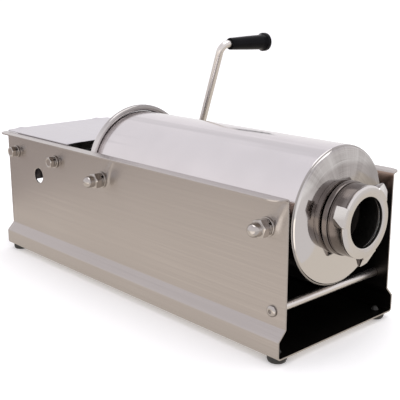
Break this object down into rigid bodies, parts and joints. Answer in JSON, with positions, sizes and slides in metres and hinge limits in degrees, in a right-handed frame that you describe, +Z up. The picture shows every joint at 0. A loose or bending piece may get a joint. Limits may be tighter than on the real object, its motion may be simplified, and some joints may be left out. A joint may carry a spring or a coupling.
{
  "type": "sausage stuffer",
  "caption": "Hand-cranked horizontal sausage stuffer with a geared rack and piston in a steel cylinder, a ring nut for stuffing tubes and a folded steel channel base.",
  "frame": {"origin": "centre of the bounding box's underside, level with the undersides of the feet", "axes": "+X along the machine towards the outlet, +Y towards the crank side, +Z up"},
  "size_m": [0.5426, 0.3362, 0.2935],
  "materials": {
    "brushed_steel": "stainless sheet brushed along its length",
    "cover_steel": "satin stainless sheet",
    "polished_steel": "mirror-polished stainless steel, not plated",
    "fastener_steel": "bright stainless fasteners",
    "machined_steel": "machined steel",
    "bush_bronze": "turned bronze",
    "grip_plastic": "glossy black moulding",
    "foot_rubber": "matt black rubber",
    "seal_silicone": "satin off-white silicone"
  },
  "bodies": {
    "frame": {"body_channel": "brushed_steel", "cover_plate": "cover_steel", "foot_near_front": "foot_rubber", "foot_near_rear": "foot_rubber", "foot_far_front": "foot_rubber", "foot_far_rear": "foot_rubber", "front_tie_rod": "fastener_steel", "tie_screw_near": "fastener_steel", "tie_screw_far": "fastener_steel", "cylinder_barrel": "polished_steel", "cylinder_bead": "polished_steel", "outlet_neck": "polished_steel", "stud_near_front": "fastener_steel", "stud_near_rear": "fastener_steel", "stud_far_front": "fastener_steel", "stud_far_rear": "fastener_steel", "stud_washer_near_front": "fastener_steel", "stud_washer_near_rear": "fastener_steel", "stud_washer_far_front": "fastener_steel", "stud_washer_far_rear": "fastener_steel", "stud_spring_near_front": "fastener_steel", "stud_spring_near_rear": "fastener_steel", "stud_spring_far_front": "fastener_steel", "stud_spring_far_rear": "fastener_steel", "acorn_nut_near_front": "fastener_steel", "acorn_nut_near_rear": "fastener_steel", "acorn_nut_far_front": "fastener_steel", "acorn_nut_far_rear": "fastener_steel", "hex_bolt_near_front": "fastener_steel", "hex_bolt_near_rear": "fastener_steel", "hex_bolt_far_front": "fastener_steel", "hex_bolt_far_rear": "fastener_steel", "bolt_washer_near_front": "fastener_steel", "bolt_washer_near_rear": "fastener_steel", "bolt_washer_far_front": "fastener_steel", "bolt_washer_far_rear": "fastener_steel", "bolt_spring_near_front": "fastener_steel", "bolt_spring_near_rear": "fastener_steel", "bolt_spring_far_front": "fastener_steel", "bolt_spring_far_rear": "fastener_steel", "gearbox_bracket": "machined_steel", "gearbox_plate": "machined_steel", "rack_guide": "machined_steel", "pinion_bush_near": "bush_bronze", "pinion_bush_far": "bush_bronze", "crank_bush_near": "bush_bronze", "crank_bush_far": "bush_bronze"},
    "piston_rack": {"rack_bar": "machined_steel", "piston": "polished_steel", "piston_seal": "seal_silicone", "piston_screw": "fastener_steel"},
    "crank": {"crank_shaft": "machined_steel", "crank_hub": "fastener_steel", "crank_rod": "polished_steel", "grip_screw": "fastener_steel"},
    "pinion": {"pinion_shaft": "machined_steel", "bull_gear": "machined_steel"},
    "grip": {"crank_grip": "grip_plastic"},
    "gasket": {"nozzle_gasket": "seal_silicone"},
    "ring_nut": {"nozzle_nut": "polished_steel"}
  },
  "joints": [
    {"name": "crank_turn", "type": "hinge", "parent": "frame", "child": "crank", "pos_m": [-0.1358, 0.0801, 0.115], "axis": [0, 1, 0], "range_deg": [-495, 5135]},
    {"name": "pinion_turn", "type": "hinge", "parent": "frame", "child": "pinion", "pos_m": [-0.1918, -0.0599, 0.115], "axis": [0, 1, 0], "range_deg": [-1402, 136]},
    {"name": "rack_slide", "type": "slide", "parent": "frame", "child": "piston_rack", "axis": [1, 0, 0], "range_m": [-0.2935, 0.0284]},
    {"name": "grip_spin", "type": "hinge", "parent": "crank", "child": "grip", "pos_m": [-0.07676, 0.1301, 0.2808], "axis": [0, 1, 0], "continuous": true},
    {"name": "gasket_slide", "type": "slide", "parent": "frame", "child": "gasket", "axis": [1, 0, 0], "range_m": [0, 0.0141]},
    {"name": "nut_turn", "type": "hinge", "parent": "gasket", "child": "ring_nut", "pos_m": [0.2517, -0.0599, 0.1323], "axis": [1, 0, 0], "range_deg": [0, 1260]}
  ],
  "couplings": [
    {"joint": "pinion_turn", "follows": "crank_turn", "ratio": -0.27273},
    {"joint": "rack_slide", "follows": "crank_turn", "m_per_rad": -0.0032727},
    {"joint": "gasket_slide", "follows": "nut_turn", "m_per_rad": 0.00063662}
  ]
}
